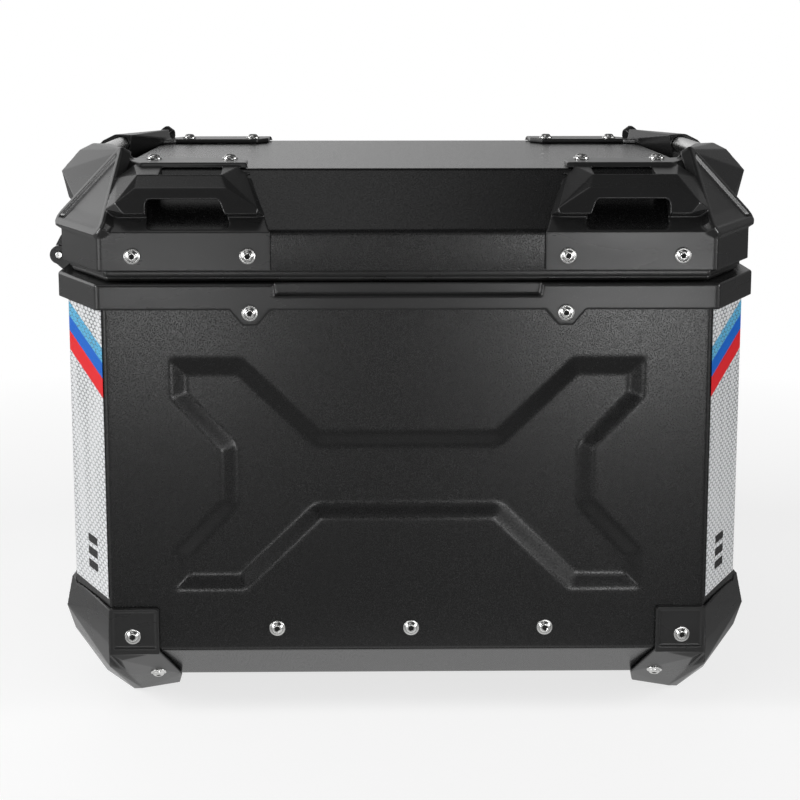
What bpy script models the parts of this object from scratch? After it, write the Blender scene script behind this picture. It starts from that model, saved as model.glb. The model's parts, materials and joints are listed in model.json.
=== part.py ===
"""Motorcycle top case: a sheet aluminium box with a side-hinged lid, moulded corner brackets and tie rails.

Frame: +X to the right of the case, +Y to its rear, +Z up, origin on the ground under the middle. Metres.
"""

import math

import bmesh
import bpy
from mathutils import Vector

# Body: an eight-sided plan, the same from the floor bevel to the lid band
HALF_W = 0.205
HALF_D = 0.1825
CORNER_X = 0.029
CORNER_Y = 0.0622
BEND_R = 0.003
SHEET = 0.0015
GAP = 0.0003

# Heights
FLOOR_Z = 0.0122
BEVEL_TOP = 0.040
BEVEL_IN = 0.040
TRAY_FLANGE_TOP = 0.064
WALL_TOP = 0.2500
COLLAR_BOTTOM = 0.2445
COLLAR_TOP = 0.2596
LID_BOTTOM = 0.2667
LID_BAND_TOP = 0.2893
LID_TOP = 0.3235
LID_IN_Y = 0.028
LID_IN_X = 0.035

# Pressed X panel on the front and rear walls
RELIEF_Z = 0.146
RELIEF_DEPTH = 0.003
RELIEF_SLOPE = 0.011
RELIEF_QUARTER = (
    (0.0505, 0.0270),
    (0.0955, 0.0704),
    (0.1390, 0.0704),
    (0.1390, 0.0455),
    (0.1100, 0.0147),
)

# Collar moulding round the mouth of the body
COLLAR_PROUD = 0.0055
COLLAR_IN = 0.0065
COLLAR_SKIRT_Z = 0.2395
NOTCH_HALF = 0.0765
NOTCH_Z = 0.2525
NOTCH_SLANT = 0.0015
NOTCH_WEB = 0.0012
NOTCH_BACK = -0.0030
TAB_X = 0.091
TAB_PROUD = COLLAR_PROUD
TAB_BOTTOM = 0.2355
TAB_HALF = 0.0115
TAB_TIP_HALF = 0.00425

FOOT_PROUD = 0.0040

# Lid brackets
SKIN = 0.0035
SKIN_SIDE = 0.0028
BRACKET_END = 0.0788
FLANGE_END = 0.0946
FLANGE_T = 0.0030
FLANGE_FRONT_IN = 0.0325
FLANGE_REAR_Y = 0.110
SIDE_RUN_END = 0.079
LOOP_FRONT = 0.1885
LOOP_LEAN = 0.336
LOOP_RIDGE_Y = 0.1765
ARM_END = 0.0545
CAP_CORNERS = ((0.1753, 0.1962, 0.2868), (0.2187, 0.1016, 0.2872), (0.1672, 0.1350, 0.3387))
CAP_RADIUS = 0.0062
CAP_RIM = 0.0050
CAP_SUNK = 0.0022
SLOT_FRONT = 0.1750
SLOT_REAR = 0.1545
SLOT_SPREAD = (0.1075, 0.1430)
RAIL_X = 0.192
RAIL_Z = 0.3262
RAIL_R = 0.005
RAIL_SOCKET = 0.012
RAIL_WALL = 0.0012

# Screws: M5 button heads with a 3 mm hexagon socket
HEAD_R = 0.00475
HEAD_H = 0.00275
SHANK_R = 0.0025
HOLE_R = 0.0029
SOCKET_AF = 0.003
SOCKET_DEEP = 0.0016
WALL_SCREW_LENGTH = 0.008
COLLAR_SCREW_LENGTH = 0.012
LID_SCREW_LENGTH = 0.010
BOTTOM_SCREW_X = (-0.0775, 0.0020, 0.0815)
BOTTOM_SCREW_Z = 0.0534
COLLAR_SCREW_Z = 0.243
BAND_SCREW_X = (0.158, 0.092)
BAND_SCREW_Z = 0.2756
TOP_SCREW_X = (0.151, 0.1055)
TOP_SCREW_Y = 0.1205

# Lid hinge, along the left side
HINGE_X = -0.2174
HINGE_Z = 0.264
KNUCKLE_R = 0.0058
HINGE_BORE_R = 0.0026
HINGE_PIN_R = 0.0023
HINGE_HALF = 0.0725
KNUCKLES = 5
LEAF_T = 0.0018

# Hasp and its key lock, in the middle of the right side
HASP_HALF = 0.026
HASP_X = 0.2185
HASP_T = 0.0040
HASP_PIVOT_Z = 0.2838
HASP_PIN_R = 0.0016
HASP_BARREL_R = 0.0036
HASP_BOTTOM = 0.2470
KEY_Z = 0.2548
KEY_R = 0.0068
KEY_FACE_X = 0.2228

# Floor fittings
KNOB_Y = 0.060
KNOB_R = 0.018
KNOB_TOP = 0.031
SHAFT_R = 0.005
PLATE_HALF_X = 0.085
PLATE_HALF_Y = 0.100
PLATE_Z = 0.0030
MAT_T = 0.0026

BLACK_COAT = ("black_coat", (0.016, 0.016, 0.017), 0.42, 0.0)
BLACK_PLASTIC = ("black_plastic", (0.026, 0.026, 0.028), 0.50, 0.0)
BLACK_RUBBER = ("black_rubber", (0.008, 0.008, 0.008), 0.30, 0.0)
STAINLESS = ("stainless", (0.62, 0.62, 0.62), 0.25, 1.0)
REFLECTIVE = ("reflective_film", (0.72, 0.74, 0.76), 0.30, 0.2)
GREY_FELT = ("grey_mat", (0.05, 0.05, 0.055), 0.95, 0.0)


# ---------------------------------------------------------------- scene and materials

def clear_scene():
    for obj in list(bpy.data.objects):
        bpy.data.objects.remove(obj, do_unlink=True)


def material(finish):
    name, colour, roughness, metallic = finish
    found = bpy.data.materials.get(name)
    if found:
        return found
    made = bpy.data.materials.new(name)
    made.use_nodes = True
    shader = made.node_tree.nodes["Principled BSDF"]
    shader.inputs["Base Color"].default_value = (*colour, 1.0)
    shader.inputs["Roughness"].default_value = roughness
    shader.inputs["Metallic"].default_value = metallic
    return made


def add_object(name, bm, finish=BLACK_PLASTIC):
    bmesh.ops.recalc_face_normals(bm, faces=bm.faces)
    mesh = bpy.data.meshes.new(name)
    bm.to_mesh(mesh)
    bm.free()
    mesh.materials.append(material(finish))
    obj = bpy.data.objects.new(name, mesh)
    bpy.context.scene.collection.objects.link(obj)
    return obj


# ---------------------------------------------------------------- outlines in plan

def round_corners(points, radius, steps):
    """The polygon with an arc at each corner, always steps + 1 points to a corner."""
    found = []
    for i, corner in enumerate(points):
        here = Vector(corner)
        before = (Vector(points[i - 1]) - here).normalized()
        after = (Vector(points[(i + 1) % len(points)]) - here).normalized()
        half = before.angle(after) / 2
        centre = here + (before + after).normalized() * radius / math.sin(half)
        start = here + before * radius / math.tan(half) - centre
        end = here + after * radius / math.tan(half) - centre
        for k in range(steps + 1):
            arm = start.slerp(end, k / steps).normalized() * radius
            found.append(tuple(centre + arm))
    return found


def case_corners(out_y, out_x=None):
    """The eight corners of the case's plan, moved out by out_y front and rear and out_x at the sides."""
    out_x = out_y if out_x is None else out_x
    length = math.hypot(CORNER_X, CORNER_Y)
    nx, ny = CORNER_Y / length, CORNER_X / length
    reach = nx * (HALF_W - CORNER_X) + ny * HALF_D + (out_x + out_y) / 2
    half_w, half_d = HALF_W + out_x, HALF_D + out_y
    front = ((reach - ny * half_d) / nx, half_d)
    side = (half_w, (reach - nx * half_w) / ny)
    quarter = [side, front]
    corners = quarter + [(-x, y) for x, y in reversed(quarter)]
    return corners + [(-x, -y) for x, y in corners]


def case_outline(out_y, out_x=None):
    return round_corners(case_corners(out_y, out_x), BEND_R, 2)


def inset_polygon(points, distance):
    """A counterclockwise polygon moved inwards, each corner kept sharp."""
    found = []
    for i, corner in enumerate(points):
        here = Vector(corner)
        before = (here - Vector(points[i - 1])).normalized()
        after = (Vector(points[(i + 1) % len(points)]) - here).normalized()
        in_before = Vector((-before.y, before.x))
        in_after = Vector((-after.y, after.x))
        mitre = in_before + in_after
        found.append(tuple(here + mitre * distance / (1 + in_before.dot(in_after))))
    return found


# ---------------------------------------------------------------- solids

def loft(name, loops, finish=BLACK_PLASTIC, ring=False):
    """A skin over loops of equal length. Its two ends are capped, or with ring they join each other."""
    bm = bmesh.new()
    rows = [[bm.verts.new(point) for point in loop] for loop in loops]
    count = len(rows[0])
    last = len(rows) if ring else len(rows) - 1
    for i in range(last):
        low, high = rows[i], rows[(i + 1) % len(rows)]
        for k in range(count):
            after = (k + 1) % count
            bm.faces.new((low[k], low[after], high[after], high[k]))
    if not ring:
        bm.faces.new(reversed(rows[0]))
        bm.faces.new(rows[-1])
    return add_object(name, bm, finish)


def case_loop(out_y, z, out_x=None):
    return [(x, y, z) for x, y in case_outline(out_y, out_x)]


def hoop(name, profile, finish=BLACK_PLASTIC):
    """A closed profile of (outward, height) points carried round the case."""
    return loft(name, [case_loop(out, z) for out, z in profile], finish, ring=True)


def extrude(name, outline, low, high, axis="Z", finish=BLACK_PLASTIC):
    """A flat outline made solid between two places on an axis."""
    place = {
        "X": lambda u, v, w: (w, u, v),
        "Y": lambda u, v, w: (u, w, v),
        "Z": lambda u, v, w: (u, v, w),
    }[axis]
    return loft(name, [[place(u, v, w) for u, v in outline] for w in (low, high)], finish)


def hull(name, points, finish=BLACK_PLASTIC):
    """The convex solid round some points."""
    bm = bmesh.new()
    for point in points:
        bm.verts.new(point)
    found = bmesh.ops.convex_hull(bm, input=bm.verts)
    loose = [item for item in found["geom_interior"] if isinstance(item, bmesh.types.BMVert)]
    bmesh.ops.delete(bm, geom=loose, context="VERTS")
    bmesh.ops.dissolve_limit(bm, angle_limit=math.radians(0.5), verts=bm.verts, edges=bm.edges)
    return add_object(name, bm, finish)


def box(name, low, high, finish=BLACK_PLASTIC):
    spans = list(zip(low, high))
    corners = [(x, y, z) for x in spans[0] for y in spans[1] for z in spans[2]]
    return hull(name, corners, finish)


def circle(radius, sides, centre=(0.0, 0.0), turn=0.0):
    angles = [turn + math.tau * i / sides for i in range(sides)]
    return [(centre[0] + radius * math.cos(a), centre[1] + radius * math.sin(a)) for a in angles]


def rod(name, axis, centre, low, high, radius, sides, finish=BLACK_PLASTIC):
    return extrude(name, circle(radius, sides, centre), low, high, axis, finish)


def combine(target, tool, operation):
    """Boolean the tool into the target and drop the tool."""
    change = target.modifiers.new("change", "BOOLEAN")
    change.operation = operation
    change.solver = "EXACT"
    change.object = tool
    bpy.context.view_layer.update()
    evaluated = target.evaluated_get(bpy.context.evaluated_depsgraph_get())
    mesh = bpy.data.meshes.new_from_object(evaluated)
    target.modifiers.clear()
    target.data = mesh
    bpy.data.objects.remove(tool, do_unlink=True)
    return target


def join(target, tool):
    return combine(target, tool, "UNION")


def cut(target, tool):
    return combine(target, tool, "DIFFERENCE")


def keep_inside(target, tool):
    return combine(target, tool, "INTERSECT")


def finish_smooth(obj, degrees=32):
    obj.data.shade_smooth()
    obj.data.set_sharp_from_angle(angle=math.radians(degrees))
    return obj


def set_origin(obj, point):
    """Put the object's origin on a joint's axis, its shape staying where it is."""
    shift = Vector(point)
    for vertex in obj.data.vertices:
        vertex.co -= shift
    obj.location = shift


# ---------------------------------------------------------------- screws

def screw_places():
    """Every modelled screw: its name, the middle of its seat, the way its head faces and its length."""
    found = []
    wall_y = HALF_D + GAP
    tab_y = HALF_D + TAB_PROUD + GAP
    band_y = HALF_D + SKIN + GAP
    top_z = LID_TOP + GAP + FLANGE_T + GAP
    for side, sy in (("front", -1), ("rear", 1)):
        out = (0, sy, 0)
        for i, x in enumerate(BOTTOM_SCREW_X, 1):
            found.append((f"{side}_wall_screw_{i}", (x, sy * wall_y, BOTTOM_SCREW_Z), out, WALL_SCREW_LENGTH))
        for hand, sx in (("left", -1), ("right", 1)):
            seat = (sx * TAB_X, sy * tab_y, COLLAR_SCREW_Z)
            found.append((f"{side}_collar_screw_{hand}", seat, out, COLLAR_SCREW_LENGTH))
            for i, x in enumerate(BAND_SCREW_X, 1):
                seat = (sx * x, sy * band_y, BAND_SCREW_Z)
                found.append((f"{side}_{hand}_band_screw_{i}", seat, out, LID_SCREW_LENGTH))
            for i, x in enumerate(TOP_SCREW_X, 1):
                seat = (sx * x, sy * TOP_SCREW_Y, top_z)
                found.append((f"{side}_{hand}_top_screw_{i}", seat, (0, 0, 1), LID_SCREW_LENGTH))
    return found


def screw(name, seat, facing, length):
    """Button head, hexagon socket and plain shank, turned about the screw's own axis."""
    sides = 12
    corner = SOCKET_AF / (2 * math.cos(math.pi / 6))
    hexagon = [corner if i % 2 == 0 else SOCKET_AF / 2 for i in range(sides)]
    rings = [
        (SHANK_R, -length),
        (SHANK_R, 0.0),
        (HEAD_R, 0.0),
        (HEAD_R * 0.96, HEAD_H * 0.35),
        (HEAD_R * 0.70, HEAD_H * 0.88),
        (HEAD_R * 0.50, HEAD_H),
        (hexagon, HEAD_H),
        (hexagon, HEAD_H - SOCKET_DEEP),
    ]
    turn = Vector((0, 0, 1)).rotation_difference(Vector(facing))
    loops = []
    for radius, height in rings:
        loop = []
        for i in range(sides):
            r = radius[i] if isinstance(radius, list) else radius
            a = math.tau * i / sides
            loop.append(tuple(Vector(seat) + turn @ Vector((r * math.cos(a), r * math.sin(a), height))))
        loops.append(loop)
    return finish_smooth(loft(name, loops, STAINLESS))


def drill(target, chosen):
    """Clearance holes for the screws whose name holds the word."""
    for name, seat, facing, length in screw_places():
        if chosen not in name:
            continue
        axis = "Y" if facing[1] else "Z"
        centre = (seat[0], seat[2]) if axis == "Y" else (seat[0], seat[1])
        along = seat[1] if axis == "Y" else seat[2]
        outward = facing[1] if axis == "Y" else facing[2]
        ends = sorted((along + outward * 0.004, along - outward * (length + 0.002)))
        cut(target, rod("hole", axis, centre, ends[0], ends[1], HOLE_R, 10))


# ---------------------------------------------------------------- body

def relief_outline():
    quarter = [(x, z) for x, z in RELIEF_QUARTER]
    right_top = list(reversed(quarter))
    top_left = [(-x, z) for x, z in quarter]
    upper = right_top + top_left
    lower = [(-x, -z) for x, z in upper]
    return upper + lower


def relief_block(name, outline, sy, outer_y, inner_y):
    """A frustum with the X outline that narrows from outer_y to inner_y, both measured from the middle."""
    loops = []
    for y, points in ((outer_y, outline), (inner_y, inset_polygon(outline, RELIEF_SLOPE))):
        loops.append([(x, sy * y, RELIEF_Z + z) for x, z in points])
    return loft(name, loops)


def wall_shell():
    """One bent sheet all round, with an X pressed in at the front and the rear."""
    low = BEVEL_TOP + GAP
    obj = hoop("wall_shell", [(0, low), (0, WALL_TOP), (-SHEET, WALL_TOP), (-SHEET, low)], BLACK_COAT)
    for sy in (-1, 1):
        wider = inset_polygon(relief_outline(), -SHEET * 0.8)
        middle = HALF_D - SHEET * 0.5
        join(obj, relief_block("boss", wider, sy, middle, middle - RELIEF_DEPTH - SHEET * 0.5))
        slope = RELIEF_SLOPE / RELIEF_DEPTH
        lead = 0.0002
        outline = inset_polygon(relief_outline(), -lead * slope)
        loops = []
        for y, inset in ((HALF_D + lead, 0.0), (HALF_D - RELIEF_DEPTH, RELIEF_SLOPE + lead * slope)):
            points = inset_polygon(outline, inset)
            loops.append([(x, sy * y, RELIEF_Z + z) for x, z in points])
        cut(obj, loft("pocket", loops))
    drill(obj, "wall_screw")
    drill(obj, "collar_screw")
    return finish_smooth(obj)


def floor_tray():
    """The bevelled floor, whose upturned flange stands inside the walls."""
    flange = -SHEET - GAP
    sections = [
        (-BEVEL_IN, FLOOR_Z),
        (0.0, BEVEL_TOP - 0.0004),
        (0.0, BEVEL_TOP),
        (flange, BEVEL_TOP),
        (flange, TRAY_FLANGE_TOP),
        (flange - SHEET, TRAY_FLANGE_TOP),
        (flange - SHEET, BEVEL_TOP),
        (-BEVEL_IN - 0.0006, FLOOR_Z + SHEET),
    ]
    obj = loft("floor_tray", [case_loop(out, z) for out, z in sections], BLACK_COAT)
    drill(obj, "wall_screw")
    cut(obj, rod("shaft_hole", "Z", (0.0, KNOB_Y), 0.0, 0.02, SHAFT_R + 0.0006, 20))
    return finish_smooth(obj)


def collar_frame():
    """The moulding that clips over the top edge of the walls."""
    groove_in = -SHEET - GAP
    profile = [
        (COLLAR_PROUD, COLLAR_BOTTOM),
        (COLLAR_PROUD, COLLAR_TOP - 0.0008),
        (COLLAR_PROUD - 0.0008, COLLAR_TOP),
        (-COLLAR_IN, COLLAR_TOP),
        (-COLLAR_IN, COLLAR_SKIRT_Z),
        (groove_in, COLLAR_SKIRT_Z),
        (groove_in, WALL_TOP + GAP),
        (GAP, WALL_TOP + GAP),
        (GAP, COLLAR_BOTTOM),
    ]
    wide = NOTCH_HALF + NOTCH_SLANT
    notch = [(-NOTCH_HALF, NOTCH_Z), (NOTCH_HALF, NOTCH_Z), (wide, 0.262), (-wide, 0.262)]
    obj = hoop("collar_frame", profile)
    for sy in (-1, 1):
        for sx in (-1, 1):
            half = [(TAB_HALF, 0.2448), (TAB_HALF, 0.2440), (TAB_TIP_HALF, TAB_BOTTOM)]
            tab = [(-u, z) for u, z in half] + list(reversed(half))
            outline = [(sx * TAB_X + u, z) for u, z in tab]
            ends = sorted((sy * (HALF_D + GAP), sy * (HALF_D + TAB_PROUD)))
            join(obj, extrude("tab", outline, ends[0], ends[1], "Y"))
        ends = sorted((sy * (HALF_D + NOTCH_BACK), sy * (HALF_D + 0.01)))
        cut(obj, extrude("notch", notch, ends[0], ends[1], "Y"))
    drill(obj, "collar_screw")
    for sx in (-1, 1):
        ends = sorted((sx * (HALF_W + NOTCH_WEB), sx * (HALF_W + 0.01)))
        cut(obj, extrude("notch", notch, ends[0], ends[1], "X"))
    return finish_smooth(obj)


def body_envelope():
    """The body's outside, a gap larger, to cut what is fitted over it."""
    sections = [(GAP - BEVEL_IN, FLOOR_Z - GAP), (GAP, BEVEL_TOP - GAP), (GAP, WALL_TOP)]
    return loft("envelope", [case_loop(out, z) for out, z in sections])


def outward_polygon(corners):
    """A flat polygon's corners as seen from outside the case, with its middle, its axes and its 2D points."""
    middle = sum((Vector(c) for c in corners), Vector()) / len(corners)
    across = (Vector(corners[1]) - Vector(corners[0])).normalized()
    normal = across.cross(Vector(corners[2]) - Vector(corners[0])).normalized()
    if normal.dot(middle - Vector((0, 0, LID_TOP / 2))) < 0:
        corners = list(reversed(corners))
        across = (Vector(corners[1]) - Vector(corners[0])).normalized()
        normal = -normal
    up = normal.cross(across)
    flat = [((Vector(c) - middle).dot(across), (Vector(c) - middle).dot(up)) for c in corners]
    return middle, across, up, normal, flat


def slab(name, corners, radius, steps):
    """A plate or a recess on a slanted face, from (height, inset) steps over its rounded outline."""
    middle, across, up, normal, flat = outward_polygon(corners)
    loops = []
    for height, inset in steps:
        outline = round_corners(inset_polygon(flat, inset), max(radius - inset, 0.0004), 3)
        loops.append([tuple(middle + across * u + up * v + normal * height) for u, v in outline])
    return loft(name, loops)


def recess(target, corners, rim, radius, depth):
    """Sink the middle of a flat face, leaving a raised rim."""
    lead = 0.0005
    return cut(target, slab("recess", corners, radius, [(-depth, rim + depth), (lead, rim - lead)]))


def foot(name, sx, sy):
    """A faceted corner protector: a plate on each wall, a ridge round the corner and a pad to stand on."""
    def mirrored(points):
        return [(sx * x, sy * y, z) for x, y, z in points]

    front_y = HALF_D + FOOT_PROUD
    side_x = HALF_W + FOOT_PROUD
    pad_plan = ((0.1690, 0.1350), (0.1640, 0.1345), (0.1560, 0.1180), (0.1620, 0.1050), (0.1760, 0.1160))
    pad = [(x, y, 0.0) for x, y in pad_plan]
    front_face = ((0.1475, 0.0650), (0.1490, 0.0664), (0.1475, 0.0385), (0.1765, 0.0385), (0.1765, 0.0660))
    front_plate = [(x, y, z) for y in (0.1810, front_y) for x, z in front_face]
    front_flange = [
        (0.1475, front_y, 0.0400), (0.1770, front_y, 0.0383),
        (0.1475, 0.1810, 0.0400), (0.1700, 0.1835, 0.0340),
        (0.1374, 0.1529, 0.0152), (0.1404, 0.1387, 0.0053),
        (0.1485, 0.1379, 0.0045), (0.1604, 0.1399, 0.0060),
        (0.1400, 0.1290, 0.0110), (0.1430, 0.1280, 0.0060),
    ] + pad[:3]
    corner = [
        (0.1765, front_y, 0.0660), (0.1750, 0.1810, 0.0660),
        (0.2070, 0.1080, 0.0680), (0.2092, 0.1110, 0.0665),
        (0.1770, 0.1878, 0.0460), (0.2122, 0.1160, 0.0490),
        (0.1770, front_y, 0.0312), (0.2080, 0.1120, 0.0330),
        (0.1870, 0.1250, 0.0090),
    ] + pad
    side_face = ((0.0920, 0.0655), (0.0905, 0.0640), (0.0905, 0.0385), (0.1130, 0.0385), (0.1130, 0.0665))
    side_plate = [(x, y, z) for x in (0.2030, side_x) for y, z in side_face]
    side_flange = [
        (side_x, 0.0905, 0.0400), (side_x, 0.1130, 0.0383), (0.2030, 0.0905, 0.0400),
        (0.1760, 0.0800, 0.0152), (0.1620, 0.0830, 0.0053), (0.1620, 0.0960, 0.0045),
        (0.1500, 0.0860, 0.0110), (0.1480, 0.0950, 0.0060),
    ] + pad[2:]
    obj = hull(name, mirrored(corner))
    for points in (front_plate, front_flange, side_plate, side_flange):
        join(obj, hull("piece", mirrored(points)))
    cut(obj, body_envelope())
    plate_face = ((0.1475, 0.0664), (0.1765, 0.0664), (0.1765, 0.0400), (0.1475, 0.0400))
    plate = [(x, front_y, z) for x, z in plate_face]
    recess(obj, mirrored(plate), 0.0018, 0.002, 0.0008)
    return finish_smooth(obj, 20)


def reflector(name, sx, sy):
    """A reflective film on a corner face of the body."""
    side, front = case_corners(GAP)[0], case_corners(GAP)[1]
    thick = 0.0003
    along = (Vector(front) - Vector(side)).normalized()
    outward = Vector((along.y, -along.x))
    margin = 0.0026
    inner = [Vector(side) + along * margin, Vector(front) - along * margin]
    outer = [point + outward * thick for point in inner]
    corners = [(sx * p.x, sy * p.y, z) for p in inner + outer for z in (0.0712, COLLAR_BOTTOM - GAP)]
    return hull(name, corners, REFLECTIVE)


# ---------------------------------------------------------------- lid

def lid_sections(out, up):
    """The lid's band foot, band top and flat top, as (outward at the front, height, outward at the sides)."""
    slope_rise = 0.4
    return [(out, LID_BOTTOM, out), (out, LID_BAND_TOP + up * slope_rise, out),
            (out - LID_IN_Y, LID_TOP + up, out - LID_IN_X)]


def lid_shell():
    """Pressed lid: an upright band, sloping sides and a flat top."""
    outer = [case_loop(y, z, x) for y, z, x in reversed(lid_sections(0.0, 0.0))]
    inner = [case_loop(y, z, x) for y, z, x in lid_sections(-SHEET, -SHEET)]
    obj = loft("lid_shell", outer + inner, BLACK_COAT)
    drill(obj, "band_screw")
    drill(obj, "top_screw")
    return finish_smooth(obj)


def lid_envelope():
    sections = lid_sections(GAP, GAP)
    first = (GAP, 0.20, GAP)
    return loft("envelope", [case_loop(y, z, x) for y, z, x in [first] + sections])


def lid_rim():
    """The moulding inside the lid's edge, with the channel for the seal."""
    out = -SHEET - GAP
    profile = [
        (out, 0.2632), (out, 0.2715), (-0.0085, 0.2715), (-0.0085, 0.2632),
        (-0.0072, 0.2632), (-0.0072, 0.2662), (-0.0034, 0.2662), (-0.0034, 0.2632),
    ]
    return finish_smooth(hoop("lid_rim", profile))


def lid_seal():
    """The rubber bulb that meets the collar."""
    profile = [
        (-0.0037, 0.2628), (-0.0037, 0.2659), (-0.0069, 0.2659), (-0.0069, 0.2628),
        (-0.0076, 0.2615), (-0.0070, 0.2600), (-0.0037, 0.2600), (-0.0030, 0.2614),
    ]
    return finish_smooth(hoop("lid_seal", profile, BLACK_RUBBER), 60)


def bracket_plan(sx, sy):
    """Where a corner bracket covers the lid, seen from above."""
    quarter = [
        (BRACKET_END, 0.200), (BRACKET_END, HALF_D + SKIN), (FLANGE_END, HALF_D - FLANGE_FRONT_IN),
        (FLANGE_END, 0.126), (0.102, FLANGE_REAR_Y), (0.160, FLANGE_REAR_Y), (0.168, 0.102),
        (0.182, SIDE_RUN_END), (0.230, SIDE_RUN_END), (0.230, 0.200),
    ]
    return [(sx * x, sy * y) for x, y in quarter]


def bracket_skin(name, sx, sy):
    """The lid's surface made thicker outwards, kept only at one corner."""
    outer_top = LID_TOP + GAP + FLANGE_T
    sections = [
        (SKIN, LID_BOTTOM, SKIN_SIDE),
        (SKIN, LID_BAND_TOP, SKIN_SIDE),
        (-FLANGE_FRONT_IN + 0.002, outer_top, -LID_IN_X + 0.002),
    ]
    obj = loft(name, [case_loop(y, z, x) for y, z, x in sections])
    cut(obj, lid_envelope())
    return keep_inside(obj, extrude("corner", bracket_plan(sx, sy), 0.25, 0.36))


def bracket_loop(sx, sy):
    """The front or rear grab handle, before its openings are cut: a nosed bar that narrows towards the top."""
    foot_line = [(0.0866, 0.3000), (0.1620, 0.3000), (0.1670, 0.3060), (0.0857, 0.3030)]
    nose_line = [(0.1037, 0.3143), (0.1560, 0.3143)]
    ridge_line = [(0.1065, 0.3213), (0.1550, 0.3213)]
    back = [
        (0.1600, 0.1470, 0.3252), (0.0960, 0.1480, 0.3257),
        (0.0820, 0.1780, 0.2985), (0.0880, 0.1700, 0.2960),
        (0.1700, 0.1750, 0.2970), (0.1690, 0.1560, 0.3185), (0.1735, 0.1800, 0.3020),
    ]
    points = [(x, LOOP_FRONT - (z - 0.3000) * LOOP_LEAN, z) for x, z in foot_line + nose_line]
    points += [(x, LOOP_RIDGE_Y, z) for x, z in ridge_line] + back
    return hull("loop", [(sx * x, sy * y, z) for x, y, z in points])


def bracket_cap(sx, sy):
    """The three-cornered panel over the corner, with its raised rim, and what backs it."""
    corners = [(sx * x, sy * y, z) for x, y, z in CAP_CORNERS]
    plate = slab("cap", corners, CAP_RADIUS, [(-0.0070, 0.0), (-0.0010, 0.0), (0.0, 0.0012)])
    recess(plate, corners, CAP_RIM, CAP_RADIUS, CAP_SUNK)
    backing = [
        (0.1680, 0.1290, 0.3290), (0.1740, 0.1850, 0.2906),
        (0.2080, 0.1036, 0.2917), (0.1600, 0.1200, 0.3263),
        (0.1640, 0.1650, 0.2901), (0.1950, 0.0944, 0.2895), (0.1620, 0.1500, 0.3160),
    ]
    return join(plate, hull("backing", [(sx * x, sy * y, z) for x, y, z in backing]))


def bracket_arm(sx, sy):
    """The arm that runs along the side and holds the end of the rail."""
    end = [
        (0.1850, 0.3325), (0.1965, 0.3330), (0.2050, 0.3288),
        (0.2168, 0.3157), (0.2127, 0.2987), (0.1900, 0.2970),
    ]
    root = [
        (0.2000, 0.0990, 0.2950), (0.1665, 0.1290, 0.3330),
        (0.1640, 0.1150, 0.3270), (0.1900, 0.1000, 0.2925),
    ]
    points = [(x, ARM_END, z) for x, z in end] + root
    return hull("arm", [(sx * x, sy * y, z) for x, y, z in points])


def bracket(name, sx, sy):
    """A corner bracket: skin, grab loop, three-cornered cap, and the arm that holds the side rail."""
    obj = bracket_skin(name, sx, sy)
    join(obj, bracket_loop(sx, sy))
    join(obj, bracket_arm(sx, sy))
    join(obj, bracket_cap(sx, sy))
    cut(obj, lid_envelope())
    finger_face = ((0.1010, 0.2905), (0.1500, 0.2905), (0.1500, 0.3080), (0.1080, 0.3080))
    finger = [(sx * x, z) for x, z in finger_face]
    if sx < 0:
        finger.reverse()
    ends = sorted((sy * 0.1500, sy * 0.200))
    cut(obj, extrude("finger", round_corners(finger, 0.003, 3), ends[0], ends[1], "Y"))
    slot = sorted((sy * SLOT_FRONT, sy * SLOT_REAR))
    spread = sorted(sx * x for x in SLOT_SPREAD)
    cut(obj, box("slot", (spread[0], slot[0], 0.2950), (spread[1], slot[1], 0.345)))
    socket = sorted((sy * (ARM_END - 0.01), sy * (ARM_END + RAIL_SOCKET)))
    cut(obj, rod("socket", "Y", (sx * RAIL_X, RAIL_Z), socket[0], socket[1], RAIL_R + GAP, 20))
    drill(obj, "band_screw")
    drill(obj, "top_screw")
    return finish_smooth(obj, 20)


def rail(name, sx):
    """A stainless tube between the front and the rear bracket of one side."""
    half = ARM_END + RAIL_SOCKET - 0.001
    obj = rod(name, "Y", (sx * RAIL_X, RAIL_Z), -half, half, RAIL_R, 20, STAINLESS)
    cut(obj, rod("bore", "Y", (sx * RAIL_X, RAIL_Z), -half - 0.01, half + 0.01, RAIL_R - RAIL_WALL, 12))
    return finish_smooth(obj)


# ---------------------------------------------------------------- hinge

def knuckle_spans(first):
    pitch = 2 * HINGE_HALF / KNUCKLES
    spans = []
    for i in range(first, KNUCKLES, 2):
        start = -HINGE_HALF + pitch * i
        spans.append((start + GAP / 2, start + pitch - GAP / 2))
    return spans


def hinge_leaf(name, plate, first):
    """A leaf plate with every second knuckle round the pin."""
    obj = extrude(name, plate, -HINGE_HALF, HINGE_HALF, "Y")
    for low, high in knuckle_spans(1 - first):
        cut(obj, rod("clear", "Y", (HINGE_X, HINGE_Z), low - GAP, high + GAP, KNUCKLE_R + 0.0006, 20))
    for low, high in knuckle_spans(first):
        join(obj, rod("knuckle", "Y", (HINGE_X, HINGE_Z), low, high, KNUCKLE_R, 20))
    cut(obj, rod("bore", "Y", (HINGE_X, HINGE_Z), -0.1, 0.1, HINGE_BORE_R, 14))
    return finish_smooth(obj)


def hinge_base_leaf():
    face = -HALF_W - NOTCH_WEB - GAP
    plate = [
        (face, 0.2530), (face, 0.2590), (HINGE_X, 0.2625),
        (HINGE_X - 0.0045, 0.2610), (face - 0.0062, 0.2530),
    ]
    return hinge_leaf("hinge_base_leaf", plate, 0)


def hinge_lid_leaf():
    face = -HALF_W - GAP
    plate = [
        (face, 0.2670), (face, 0.2870), (face - LEAF_T, 0.2870),
        (face - LEAF_T - 0.009, 0.2760), (HINGE_X - 0.004, 0.2662), (HINGE_X, 0.2655),
    ]
    return hinge_leaf("hinge_lid_leaf", plate, 1)


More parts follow.
